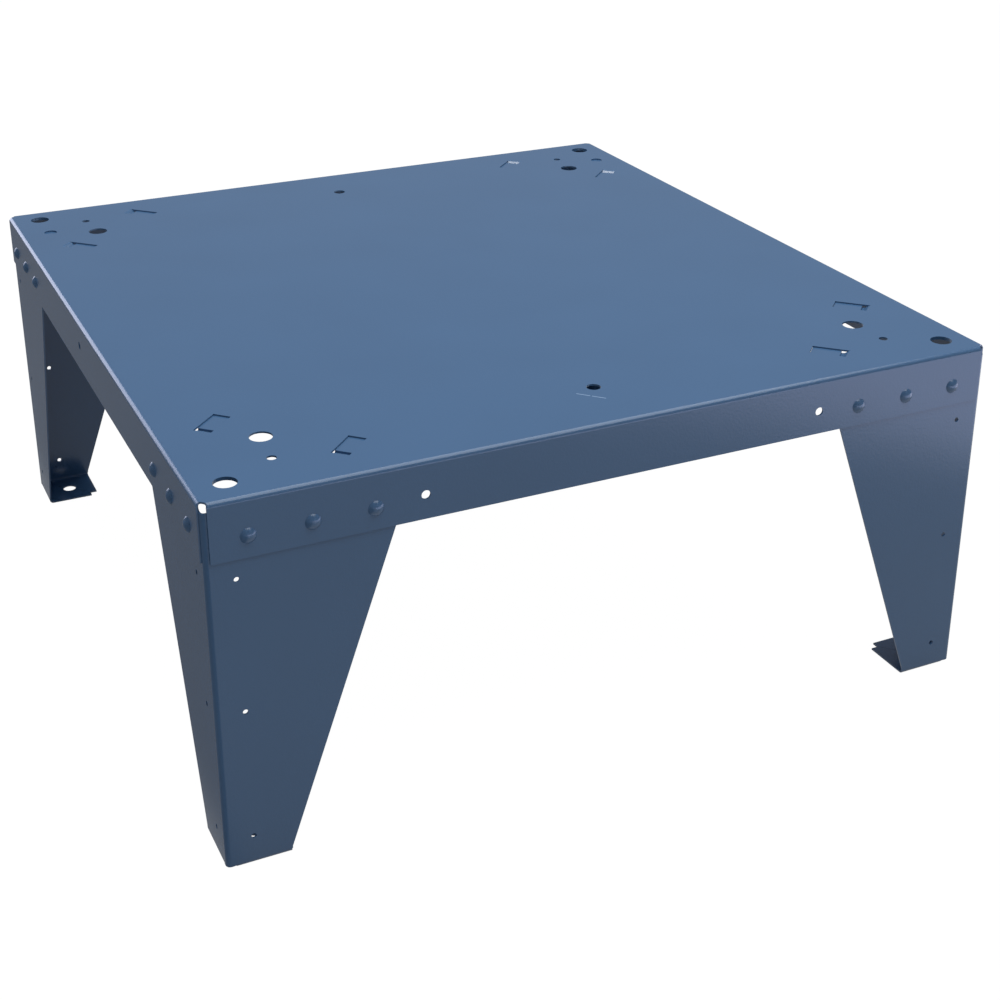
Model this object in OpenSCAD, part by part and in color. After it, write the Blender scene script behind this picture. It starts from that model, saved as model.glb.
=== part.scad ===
// Low pedestal that carries a small robot: one folded sheet-steel top pan
// riveted over four folded corner legs.
// Origin: on the floor under the middle of the pan. X is to the right, Y to the back, Z up.
// Places near a corner are distances in from the pan's outer side face (x) and
// outer front or back face (y), the same at all four corners.

/* [Overall] */
// Width over the side skirts
pan_w = 710; // [560:5:900]
// Depth over the front and back skirts
pan_d = 745; // [560:5:900]
// Height from the floor to the top face
stand_h = 323; // [250:1:450]
// Thickness of the sheet steel
sheet_t = 1.5; // [1:0.1:2]
// Inside radius of every fold
fold_r = 2.5; // [1:0.1:3]

/* [Pan skirts] */
// Height of the skirts, top face to lower edge
skirt_h = 49.5; // [40:0.5:70]
// Distance from the corner at which each skirt ends
skirt_end_gap = 6.2; // [5:0.1:8]
// Radius of the round relief at each corner of the top face
corner_relief_r = 7.2; // [6.5:0.1:9]

/* [Top holes] */
// Diameter of the large bolt holes
bolt_hole_d = 18.8; // [10:0.1:22]
// Distance of the outer bolt holes from both faces
outer_hole_in = 28.6; // [24:0.1:34]
// Distance of the inner bolt holes from the side face
inner_hole_x = 76.4; // [66:0.1:90]
// Distance of the inner bolt holes from the front or back face
inner_hole_y = 92.9; // [88:0.1:100]
// Diameter of the small holes beside the bolt holes
small_hole_d = 8; // [4:0.1:10]
// Distance of the small holes from the side face
small_hole_x = 72.3; // [64:0.1:80]
// Distance of the small holes from the front or back face
small_hole_y = 53.6; // [48:0.1:60]
// Diameter of the extra blind hole at each back corner
blind_hole_d = 13; // [8:0.1:16]
// Distance of the blind holes from the side face
blind_hole_x = 30.5; // [24:0.1:36]
// Distance of the blind holes from the back face
blind_hole_y = 76; // [70:0.1:84]
// Diameter of the holes on the pan's middle line
middle_hole_d = 12.3; // [6:0.1:16]
// Distance of the middle holes from the front or back face
middle_hole_y = 68.2; // [60:0.1:90]

/* [Lanced tabs] */
// Length of each tab
tab_len = 30; // [26:0.5:34]
// Width of each tab
tab_w = 15.5; // [12:0.5:18]
// Distance of a tab's centre from the nearer face
tab_near = 50; // [44:0.5:56]
// Distance of a tab's centre from the farther face
tab_far = 133.5; // [126:0.5:160]
// Sideways clearance between a tab and the edge that it was cut from
tab_clearance = 0.2; // [0.1:0.1:0.6]
// Depth of a tab's face below the top face
tab_drop = 1.2; // [0.8:0.1:3]
// Depth of the groove at a tab's root
groove_depth = 3; // [2.5:0.1:5]
// Length of the slope that leads down into the groove
groove_slope = 6; // [4:0.1:8]
// Distance from the tab's root line to the far wall of the groove
groove_reach = 4.6; // [3:0.1:6]

/* [Skirt holes] */
// Diameter of the holes through the skirts
skirt_hole_d = 7.5; // [4:0.1:10]
// Distance of the front and back skirt holes from the side faces
skirt_hole_x = 175.6; // [170:0.1:220]
// Distance of the front and back skirt holes below the top face
skirt_hole_z = 29; // [20:0.1:32]
// Distance of the side skirt holes behind the pan's middle
side_hole_y = 25.5; // [-60:0.1:60]
// Distance of the side skirt holes below the top face
side_hole_z = 23.3; // [15:0.1:30]

/* [Legs] */
// Width of a leg flange at the lower edge of the skirt
leg_top_w = 151.5; // [146:0.5:170]
// Width of a leg flange at the foot
leg_foot_w = 56; // [52:0.5:80]
// Height above the floor at which a flange begins to widen
leg_foot_h = 6; // [5:0.5:12]
// Distance from the corner to the far side of the round reliefs at the folds' ends
flap_start = 10.4; // [9:0.1:12]
// Height above the floor at which the upright fold ends
fold_end_low = 2.5; // [1.5:0.1:7]
// Distance below the leg's top at which the upright fold ends
fold_end_high = 6.5; // [1.5:0.1:8]
// Distance from the corner at which a top flap ends
top_flap_w = 105; // [92:0.5:108]
// Depth of a top flap
top_flap_d = 49; // [44:0.5:55]
// Distance from the corner at which a foot flap ends
foot_flap_w = 55.4; // [50:0.1:56]
// Depth of a foot flap
foot_flap_d = 48.3; // [44:0.1:50]
// Gap between two flaps where they meet on the diagonal
mitre_gap = 0.3; // [0.2:0.1:2]
// Diameter of the floor anchor hole
anchor_hole_d = 14; // [8:0.1:18]
// Distance of the anchor hole from both faces
anchor_hole_in = 28.8; // [25:0.1:32]
// Number of small holes up each flange
flange_hole_count = 3; // [2:1:5]
// Diameter of the small holes up each flange
flange_hole_d = 4.3; // [3:0.1:6]
// Distance of the flange holes from the corner
flange_hole_in = 25; // [20:0.1:32]
// Height of the lowest flange hole above the floor
flange_hole_low = 26.5; // [20:0.1:40]
// Distance of the highest flange hole below the top face
flange_hole_high = 66.5; // [60:0.1:80]

/* [Rivets] */
// Distance of the first rivet from the corner
rivet_first = 35.5; // [30:0.1:45]
// Spacing of the rivets
rivet_pitch = 49.7; // [36:0.1:52]
// Number of rivets through each leg flange
rivet_count = 3; // [2:1:3]
// Distance of the rivets above the lower edge of the skirt
rivet_up = 17.9; // [14:0.1:22]
// Diameter of a rivet's domed head
rivet_head_d = 12.9; // [10:0.1:15]
// Height of a rivet's domed head
rivet_head_h = 3.2; // [1.5:0.1:4]
// Diameter of a rivet's shank
rivet_shank_d = 6.4; // [4:0.1:8]
// Clearance of a rivet's shank in its holes, on the diameter
rivet_clearance = 0.2; // [0.1:0.1:0.4]
// Diameter of a rivet's formed tail
rivet_tail_d = 9.6; // [8:0.1:12]
// Height of a rivet's formed tail
rivet_tail_h = 2; // [1:0.1:3]

/* [Hidden] */
$fn = 64;
// Length by which a cut runs past the surface that it opens
past = 1;
fold_out = fold_r + sheet_t;
leg_face = sheet_t;
leg_top = stand_h - sheet_t;
fold_line = leg_face + fold_out;
skirt_bottom = stand_h - skirt_h;
leg_slope = (leg_top_w - leg_foot_w) / (skirt_bottom - leg_foot_h);
flange_top = leg_top - fold_out;
flange_top_w = leg_top_w + leg_slope * (flange_top - skirt_bottom);
// Reliefs between a leg's upright fold and the folds of its flaps
relief_r = (flap_start - fold_line) / 2;
relief_x = fold_line + relief_r;
// Number of flats that make up a tab's slope
slope_steps = 6;
rivet_hole_d = rivet_shank_d + rivet_clearance;
rivet_z = skirt_bottom + rivet_up;
grip = 2 * sheet_t;
steel_blue = [0.31, 0.41, 0.53];
rivet_blue = [0.36, 0.46, 0.58];

// Each corner's name and its signs along X and Y
corners = [
    ["front_left", [-1, -1]],
    ["front_right", [1, -1]],
    ["back_left", [-1, 1]],
    ["back_right", [1, 1]]
];
// The two skirts at a corner: the side skirt, and the front or back skirt
walls = ["side", "end"];

function leg_name(corner) = str("leg_", corner[0]);
function rivet_name(corner, wall, n) = str("rivet_", corner[0], "_", wall, "_", n);
function flange_hole_z(n) =
    flange_hole_low
    + n * (stand_h - flange_hole_high - flange_hole_low) / (flange_hole_count - 1);

// ---- Placing ----

// Moves children from the pan's outer corner on the floor, x and y inwards, to a real corner
module at_corner(corner) {
    signs = corner[1];
    translate([signs.x * pan_w / 2, signs.y * pan_d / 2, 0])
        mirror([signs.x > 0 ? 1 : 0, 0, 0])
            mirror([0, signs.y > 0 ? 1 : 0, 0])
                children();
}

// Swaps x and y, so that what is drawn for the front skirt lands on the side skirt
module on_side() {
    mirror([1, -1, 0]) children();
}

// Puts children on the front skirt or, swapped, on the side skirt
module on_wall(wall) {
    if (wall == "side") on_side() children();
    else children();
}

// ---- Cutters, in corner coordinates ----

// Hole through the top face
module top_hole(x, y, d) {
    translate([x, y, leg_top - fold_out])
        cylinder(h = fold_out + sheet_t + past, d = d);
}

// Hole through the front skirt or flange
module wall_hole(x, z, d) {
    translate([x, -past, z])
        rotate([-90, 0, 0]) cylinder(h = grip + 2 * past, d = d);
}

module rivet_holes() {
    for (n = [1 : rivet_count]) wall_hole(rivet_x(n), rivet_z, rivet_hole_d);
}

function rivet_x(n) = rivet_first + (n - 1) * rivet_pitch;

// ---- Top pan ----

// Rectangle on y = 0 with its two upper corners rounded
module crowned_outline(w, h, r) {
    translate([-w / 2, 0]) square([w, h - r]);
    translate([r - w / 2, 0]) square([w - 2 * r, h]);
    for (side = [-1, 1]) translate([side * (w / 2 - r), h - r]) circle(r);
}

// Block with its four top edges rounded
module crowned_block(w, d, h, r) {
    intersection() {
        rotate([90, 0, 0]) linear_extrude(d, center = true) crowned_outline(w, h, r);
        rotate([90, 0, 90]) linear_extrude(w, center = true) crowned_outline(d, h, r);
    }
}

// Open space at one corner where the two skirts end
module corner_opening() {
    translate([-past, -past, skirt_bottom - past])
        cube([skirt_end_gap + past, skirt_end_gap + past, skirt_h - fold_out + 2 * past]);
    translate([0, 0, stand_h]) sphere(corner_relief_r);
}

module pan_sheet() {
    translate([0, 0, skirt_bottom]) difference() {
        crowned_block(pan_w, pan_d, skirt_h, fold_out);
        translate([0, 0, -past])
            crowned_block(pan_w - grip, pan_d - grip, skirt_h - sheet_t + past, fold_r);
    }
}

// Moves children from a tab's root, x along the tab and z from the top face, to its place
module at_tab(x, y) {
    translate([x, y, stand_h]) rotate([0, 0, 45]) translate([-tab_len / 2, 0, 0]) children();
}

// Both tabs of a corner lie parallel to its diagonal
module at_tabs() {
    at_tab(tab_near, tab_far) children();
    at_tab(tab_far, tab_near) children();
}

// Opening that is cut for a tab and its root groove
module tab_opening() {
    translate([-groove_slope / 2, -tab_w / 2, -sheet_t - past])
        cube([tab_len + groove_slope / 2, tab_w, sheet_t + 2 * past]);
}

// Side view of a tab's surface: down a slope into the groove, up its far wall, level to the end
function tab_line(below, wall_x) = concat(
    [for (i = [0 : slope_steps])
        [groove_slope * (i / slope_steps - 1 / 2),
         -below - groove_depth * (1 - cos(180 * i / slope_steps)) / 2]],
    [[wall_x, -below - groove_depth], [wall_x, -below - tab_drop]],
    [[tab_len - tab_clearance, -below - tab_drop]]
);

function reversed(list) = [for (i = [len(list) - 1 : -1 : 0]) list[i]];

module tab() {
    rotate([90, 0, 0]) linear_extrude(tab_w - 2 * tab_clearance, center = true)
        polygon(concat(
            tab_line(0, groove_reach),
            reversed(tab_line(sheet_t, groove_reach + sheet_t))
        ));
}

module corner_holes() {
    top_hole(outer_hole_in, outer_hole_in, bolt_hole_d);
    top_hole(inner_hole_x, inner_hole_y, bolt_hole_d);
    top_hole(small_hole_x, small_hole_y, small_hole_d);
    wall_hole(skirt_hole_x, stand_h - skirt_hole_z, skirt_hole_d);
    for (wall = walls) on_wall(wall) rivet_holes();
}

module pan_holes() {
    for (corner = corners) at_corner(corner) {
        corner_opening();
        corner_holes();
        at_tabs() tab_opening();
    }
    for (corner = [corners[2], corners[3]])
        at_corner(corner) top_hole(blind_hole_x, blind_hole_y, blind_hole_d);
    for (face = [-1, 1])
        translate([0, face * (pan_d / 2 - middle_hole_y), 0]) top_hole(0, 0, middle_hole_d);
    for (side = [-1, 1])
        translate([side * pan_w / 2, side_hole_y, stand_h - side_hole_z])
            rotate([0, 90, 0]) cylinder(h = 2 * (sheet_t + past), d = skirt_hole_d, center = true);
}

module top_pan() {
    color(steel_blue) {
        difference() {
            pan_sheet();
            pan_holes();
        }
        for (corner = corners) at_corner(corner) at_tabs() tab();
    }
}

// ---- Legs ----

// Upright fold between the two flanges
module upright_fold() {
    translate([fold_line, fold_line, fold_end_low])
        linear_extrude(leg_top - fold_end_high - fold_end_low) quarter_ring();
}

// Quarter of a ring in the lower left quadrant, one sheet thick
module quarter_ring() {
    intersection() {
        difference() {
            circle(fold_out);
            circle(fold_r);
        }
        translate([-fold_out, -fold_out]) square(fold_out);
    }
}

// Flat of the front flange between its upright fold and its slanted edge
module flange() {
    difference() {
        translate([0, leg_face + sheet_t, 0]) rotate([90, 0, 0]) linear_extrude(sheet_t) polygon([
            [fold_line, fold_end_low],
            [relief_x, fold_end_low],
            [relief_x, fold_out],
            [leg_foot_w, fold_out],
            [leg_foot_w, leg_foot_h],
            [flange_top_w, flange_top],
            [relief_x, flange_top],
            [relief_x, leg_top - fold_end_high],
            [fold_line, leg_top - fold_end_high]
        ]);
        for (n = [0 : flange_hole_count - 1]) wall_hole(flange_hole_in, flange_hole_z(n), flange_hole_d);
        rivet_holes();
    }
}

// Foot flap of the front flange with its fold, cut to the mitre
module flap(end, depth) {
    mitre = mitre_gap / sqrt(2);
    intersection() {
        translate([relief_x, 0, 0]) rotate([90, 0, 90]) linear_extrude(end - relief_x) {
            translate([fold_line, fold_out]) quarter_ring();
            translate([fold_line, 0]) square([depth - fold_line, sheet_t]);
        }
        linear_extrude(fold_out) polygon([[mitre, 0], [end + mitre, 0], [end + mitre, end]]);
    }
}

// Round-ended cut from a leg's foot up to where its upright fold ends
module relief(fold_end) {
    translate([relief_x, 0, fold_end - relief_r])
        rotate([-90, 0, 0]) cylinder(h = flap_start, r = relief_r);
    translate([fold_line, 0, -past])
        cube([2 * relief_r, flap_start, fold_end - relief_r + past]);
}

// Turns children upside down within the leg's height
module from_top() {
    translate([0, 0, leg_top]) mirror([0, 0, 1]) children();
}

// The front flange with its foot flap and top flap
module leg_half() {
    difference() {
        union() {
            flange();
            flap(foot_flap_w, foot_flap_d);
            from_top() flap(top_flap_w, top_flap_d);
        }
        relief(fold_end_low);
        from_top() relief(fold_end_high);
    }
}

module leg() {
    color(steel_blue) difference() {
        union() {
            leg_half();
            on_side() leg_half();
            upright_fold();
        }
        translate([anchor_hole_in, anchor_hole_in, -past])
            cylinder(h = sheet_t + 2 * past, d = anchor_hole_d);
        top_hole(outer_hole_in, outer_hole_in, bolt_hole_d);
    }
}

// ---- Rivets ----

// Domed cap of a sphere on z = 0
module dome(d, h) {
    ball_r = (d * d / 4 + h * h) / (2 * h);
    intersection() {
        translate([0, 0, h - ball_r]) sphere(ball_r);
        cylinder(h = h + past, d = d + past);
    }
}

// Rivet through the front skirt and flange: head outside, formed tail inside
module rivet(n) {
    color(rivet_blue) translate([rivet_x(n), 0, rivet_z]) rotate([90, 0, 0]) {
        dome(rivet_head_d, rivet_head_h);
        translate([0, 0, -grip]) cylinder(h = grip, d = rivet_shank_d);
        translate([0, 0, -grip]) mirror([0, 0, 1]) cylinder(h = rivet_tail_h, d = rivet_tail_d);
    }
}

top_pan();
for (corner = corners) at_corner(corner) leg();
for (corner = corners, wall = walls, n = [1 : rivet_count])
    at_corner(corner) on_wall(wall) rivet(n);
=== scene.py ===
import math
import bpy
import bmesh
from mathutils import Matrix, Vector


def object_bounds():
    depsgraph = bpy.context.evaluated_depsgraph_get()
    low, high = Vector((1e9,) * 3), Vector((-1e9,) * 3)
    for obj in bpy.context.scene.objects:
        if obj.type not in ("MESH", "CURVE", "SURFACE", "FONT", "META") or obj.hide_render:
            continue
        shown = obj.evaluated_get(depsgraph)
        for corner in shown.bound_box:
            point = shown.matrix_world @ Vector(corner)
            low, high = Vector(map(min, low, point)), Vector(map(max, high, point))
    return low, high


# Low riveted sheet-steel pedestal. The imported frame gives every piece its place, in metres.
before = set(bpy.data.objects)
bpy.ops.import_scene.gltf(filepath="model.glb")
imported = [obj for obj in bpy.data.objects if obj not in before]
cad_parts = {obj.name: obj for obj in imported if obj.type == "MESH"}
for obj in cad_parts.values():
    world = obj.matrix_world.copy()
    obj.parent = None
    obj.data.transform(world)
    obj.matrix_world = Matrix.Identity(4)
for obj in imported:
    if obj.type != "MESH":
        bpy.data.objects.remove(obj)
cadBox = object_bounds()
mm = 0.001
print("frame loaded,", len(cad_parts), "nodes")


def toLinear(hexColour):
    channels = [int(hexColour[i:i + 2], 16) / 255 for i in (1, 3, 5)]
    return [c / 12.92 if c <= 0.04045 else ((c + 0.055) / 1.055) ** 2.4 for c in channels] + [1.0]


def addNode(tree, kind, settings=None, inputs=None, links=None):
    node = tree.nodes.new(kind)
    for name, value in (settings or {}).items():
        setattr(node, name, value)
    for name, value in (inputs or {}).items():
        node.inputs[name].default_value = value
    for name, source in (links or {}).items():
        tree.links.new(source, node.inputs[name])
    return node


def newMaterial(name):
    material = bpy.data.materials.new(name)
    material.use_nodes = True
    material.node_tree.nodes.clear()
    return material, material.node_tree


# Thermoset powder, sprayed on and melted into one skin: an even semi-gloss blue that goes over the
# rivet heads too, with the faint orange peel that the melted powder leaves
powderCoat = {
    "colour": "#42648a", "shade": "#3f6085",
    "roughness": 0.2, "ior": 1.5,
    "driftSpacing": 90 * mm,  # size of the faint patches where the coat is thicker
    "driftDetail": 1.0,
    "peelSpacing": 2.3 * mm, "peelDetail": 2.0, "peelStrength": 1.0, "peelHeight": 0.075 * mm,
    "paleMarks": {"middle": (-10.5 * mm, -319.65 * mm, 0), "turn": -46.6, "length": 26 * mm,
                "width": 1.1 * mm, "gap": 1.3 * mm, "soft": 0.3 * mm,
                "above": 322.4 * mm,  # only the top face lies higher than this
                "colour": "#8ea8c8"},
}


def within(tree, value, inner, outer):
    # 1 up to inner, 0 past outer, smooth between; inner above outer turns it round
    size = addNode(tree, "ShaderNodeMath", {"operation": "ABSOLUTE"}, links={0: value})
    low, high = sorted((inner, outer))
    faded = addNode(tree, "ShaderNodeMapRange", {"interpolation_type": "SMOOTHSTEP"},
                    {"From Min": low, "From Max": high,
                     "To Min": float(inner < outer), "To Max": float(inner > outer)},
                    {"Value": size.outputs["Value"]})
    return faded.outputs["Result"]


def addPaleMarks(tree, place):
    # Two short pale marks end to end on the top face, with an unmarked gap between them
    paleMarks = powderCoat["paleMarks"]
    local = addNode(tree, "ShaderNodeMapping", {"vector_type": "TEXTURE"}, {
        "Location": paleMarks["middle"], "Rotation": (0, 0, math.radians(paleMarks["turn"]))}, {"Vector": place})
    along = addNode(tree, "ShaderNodeSeparateXYZ", links={"Vector": local.outputs["Vector"]})
    height = addNode(tree, "ShaderNodeMath", {"operation": "GREATER_THAN"}, {1: paleMarks["above"]},
                     {0: along.outputs["Z"]})
    soft, length, gap, width = (paleMarks[name] for name in ("soft", "length", "gap", "width"))
    mask = height.outputs["Value"]
    for part in (within(tree, along.outputs["X"], length / 2 - soft, length / 2),
                 within(tree, along.outputs["X"], gap / 2 + soft, gap / 2),
                 within(tree, along.outputs["Y"], width / 2 - soft, width / 2)):
        both = addNode(tree, "ShaderNodeMath", {"operation": "MULTIPLY"}, links={0: mask, 1: part})
        mask = both.outputs["Value"]
    return mask


def makePowderCoat():
    material, tree = newMaterial("powderCoatedSteel")
    place = addNode(tree, "ShaderNodeTexCoord").outputs["Object"]
    drift = addNode(tree, "ShaderNodeTexNoise", links={"Vector": place}, inputs={
        "Scale": 1 / powderCoat["driftSpacing"], "Detail": powderCoat["driftDetail"]})
    coat = addNode(tree, "ShaderNodeMix", {"data_type": "RGBA"},
                   {"A": toLinear(powderCoat["colour"]), "B": toLinear(powderCoat["shade"])},
                   {"Factor": drift.outputs["Fac"]})
    marked = addNode(tree, "ShaderNodeMix", {"data_type": "RGBA"},
                     {"B": toLinear(powderCoat["paleMarks"]["colour"])},
                     {"Factor": addPaleMarks(tree, place), "A": coat.outputs["Result"]})
    peel = addNode(tree, "ShaderNodeTexNoise", links={"Vector": place}, inputs={
        "Scale": 1 / powderCoat["peelSpacing"], "Detail": powderCoat["peelDetail"]})
    bump = addNode(tree, "ShaderNodeBump",
                   inputs={"Strength": powderCoat["peelStrength"], "Distance": powderCoat["peelHeight"]},
                   links={"Height": peel.outputs["Fac"]})
    surface = addNode(tree, "ShaderNodeBsdfPrincipled", inputs={
        "Roughness": powderCoat["roughness"], "IOR": powderCoat["ior"]},
        links={"Base Color": marked.outputs["Result"], "Normal": bump.outputs["Normal"]})
    addNode(tree, "ShaderNodeOutputMaterial", links={"Surface": surface.outputs["BSDF"]})
    return material


coat = makePowderCoat()
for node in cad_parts.values():
    node.data.materials.clear()
    node.data.materials.append(coat)
print("powder coat made and given to every node")

camera = {
    "azimuth": -25.16, "elevation": 22.64, "distance": 1.66,
    "aimFromCentre": (0.0387, -0.0398, 0.0789), "shiftY": -0.14,
    "lens": 60.59, "sensorWidth": 36,  # both in mm
    "farthest": 50,  # in metres, what lies past this isn't drawn
}


def makeCamera():
    low, high = cadBox
    aim = (Vector(low) + Vector(high)) / 2 + Vector(camera["aimFromCentre"])
    turn, rise = math.radians(camera["azimuth"]), math.radians(camera["elevation"])
    back = Vector((math.sin(turn) * math.cos(rise), -math.cos(turn) * math.cos(rise), math.sin(rise)))
    data = bpy.data.cameras.new("mainCamera")
    data.lens = camera["lens"]
    data.sensor_width = camera["sensorWidth"]
    data.shift_y = camera["shiftY"]
    data.clip_end = camera["farthest"]
    thing = bpy.data.objects.new("mainCamera", data)
    bpy.context.scene.collection.objects.link(thing)
    thing.location = aim + back * camera["distance"]
    thing.rotation_mode = "QUATERNION"
    thing.rotation_quaternion = (-back).to_track_quat("-Z", "Y")
    bpy.context.scene.camera = thing


makeCamera()
print("camera placed")

floorLook = {
    "colour": "#b4b4b4", "reach": 12,
    "seenShare": 0.95, "seenLevel": 1.05,  # the plain white that the camera sees in the floor
    # What gloss sees in the floor is a painted reflection, a glow that only glossy rays meet: dim past the
    # left side, then a step up, and one more at the front right
    "gloss": {"share": 0.85, "left": 0.14, "farTint": "#e0e3ff", "towards": (0.77, -0.64, 0),
              "nearStep": {"from": -0.38, "to": -0.32, "by": 0.58},
              "farStep": {"from": 0.9, "to": 1.08, "by": 2.7}},
}


def makeFloor():
    mesh = bpy.data.meshes.new("floor")
    shape = bmesh.new()
    bmesh.ops.create_grid(shape, x_segments=1, y_segments=1, size=floorLook["reach"])
    shape.to_mesh(mesh)
    shape.free()
    floor = bpy.data.objects.new("floor", mesh)
    bpy.context.scene.collection.objects.link(floor)
    material, tree = newMaterial("paleFloor")
    gloss = floorLook["gloss"]
    ray = addNode(tree, "ShaderNodeLightPath")
    place = addNode(tree, "ShaderNodeTexCoord").outputs["Object"]
    across = addNode(tree, "ShaderNodeVectorMath", {"operation": "DOT_PRODUCT"},
                     {1: gloss["towards"]}, {0: place})
    sideways = addNode(tree, "ShaderNodeSeparateXYZ", links={"Vector": place})
    steps = []
    for name, value in (("nearStep", sideways.outputs["X"]), ("farStep", across.outputs["Value"])):
        step = addNode(tree, "ShaderNodeMapRange", {"interpolation_type": "SMOOTHSTEP"},
                       {"From Min": gloss[name]["from"], "From Max": gloss[name]["to"]}, {"Value": value})
        steps.append(step.outputs["Result"])
    near, far = steps
    # painted reflection: the glow that glossy rays find in the floor, set by place and tinted at the far
    # step
    nearLevel = addNode(tree, "ShaderNodeMath", {"operation": "MULTIPLY_ADD"},
                        {1: gloss["nearStep"]["by"], 2: gloss["left"]}, {0: near})
    level = addNode(tree, "ShaderNodeMath", {"operation": "MULTIPLY_ADD"}, {1: gloss["farStep"]["by"]},
                    {0: far, 2: nearLevel.outputs["Value"]})
    strength = addNode(tree, "ShaderNodeMix", {"data_type": "FLOAT"}, {"B": floorLook["seenLevel"]},
                       {"Factor": ray.outputs["Is Camera Ray"], "A": level.outputs["Value"]})
    inTint = addNode(tree, "ShaderNodeMath", {"operation": "MULTIPLY"},
                     links={0: far, 1: ray.outputs["Is Glossy Ray"]})
    tint = addNode(tree, "ShaderNodeMix", {"data_type": "RGBA"},
                   {"A": (1, 1, 1, 1), "B": toLinear(gloss["farTint"])}, {"Factor": inTint.outputs["Value"]})
    inGloss = addNode(tree, "ShaderNodeMath", {"operation": "MULTIPLY"}, {1: gloss["share"]},
                      {0: ray.outputs["Is Glossy Ray"]})
    seen = addNode(tree, "ShaderNodeMath", {"operation": "MULTIPLY_ADD"}, {1: floorLook["seenShare"]},
                   {0: ray.outputs["Is Camera Ray"], 2: inGloss.outputs["Value"]})
    shaded = addNode(tree, "ShaderNodeBsdfDiffuse", inputs={"Color": toLinear(floorLook["colour"])})
    white = addNode(tree, "ShaderNodeEmission", links={
        "Color": tint.outputs["Result"], "Strength": strength.outputs["Result"]})
    surface = addNode(tree, "ShaderNodeMixShader", links={
        "Fac": seen.outputs["Value"], 1: shaded.outputs["BSDF"], 2: white.outputs["Emission"]})
    addNode(tree, "ShaderNodeOutputMaterial", links={"Surface": surface.outputs["Shader"]})
    mesh.materials.append(material)


skyLook = {"level": 0.28, "seenLevel": 1.0}  # the light it gives, and the white that the camera sees


def makeSky():
    world = bpy.data.worlds.new("studio")
    bpy.context.scene.world = world
    world.use_nodes = True
    tree = world.node_tree
    tree.nodes.clear()
    ray = addNode(tree, "ShaderNodeLightPath")
    level = addNode(tree, "ShaderNodeMapRange", links={"Value": ray.outputs["Is Camera Ray"]}, inputs={
        "To Min": skyLook["level"], "To Max": skyLook["seenLevel"]})
    shade = addNode(tree, "ShaderNodeBackground", inputs={"Color": (1, 1, 1, 1)},
                    links={"Strength": level.outputs["Result"]})
    addNode(tree, "ShaderNodeOutputWorld", links={"Surface": shade.outputs["Background"]})


lamps = [
    {"name": "overhead", "place": (0.7, -0.1, 3.0), "aim": (0, 0, 0.2), "size": (4.2, 2.6),
     "power": 93, "colour": "#ffffff"},
    {"name": "overheadKey", "place": (-0.4, 0.77, 3.0), "aim": (0, 0, 0.2), "size": (0.7, 0.7),
     "power": 14, "colour": "#ffffff"},
    {"name": "backLeftRim", "place": (-1.26, 3.0, 1.0), "aim": (0, 0, 0.25), "size": (1.5, 1.9),
     "power": 28, "colour": "#e8eaff"},
    {"name": "frontRight", "place": (1.2, -2.7, 0.95), "aim": (0, 0, 0.25), "size": (2.4, 1.9),
     "power": 2, "colour": "#e8eaff"},
]


def makeLamp(lamp):
    data = bpy.data.lights.new(lamp["name"], "AREA")
    data.shape = "RECTANGLE"
    data.size, data.size_y = lamp["size"]
    data.energy = lamp["power"]
    data.color = toLinear(lamp["colour"])[:3]
    thing = bpy.data.objects.new(lamp["name"], data)
    bpy.context.scene.collection.objects.link(thing)
    thing.location = lamp["place"]
    thing.rotation_mode = "QUATERNION"
    thing.rotation_quaternion = (Vector(lamp["aim"]) - Vector(lamp["place"])).to_track_quat("-Z", "Y")
    thing.visible_camera = False


makeFloor()
makeSky()
for lamp in lamps:
    makeLamp(lamp)
bpy.context.scene.view_settings.view_transform = "Standard"
print("floor, sky and", len(lamps), "lamps placed")
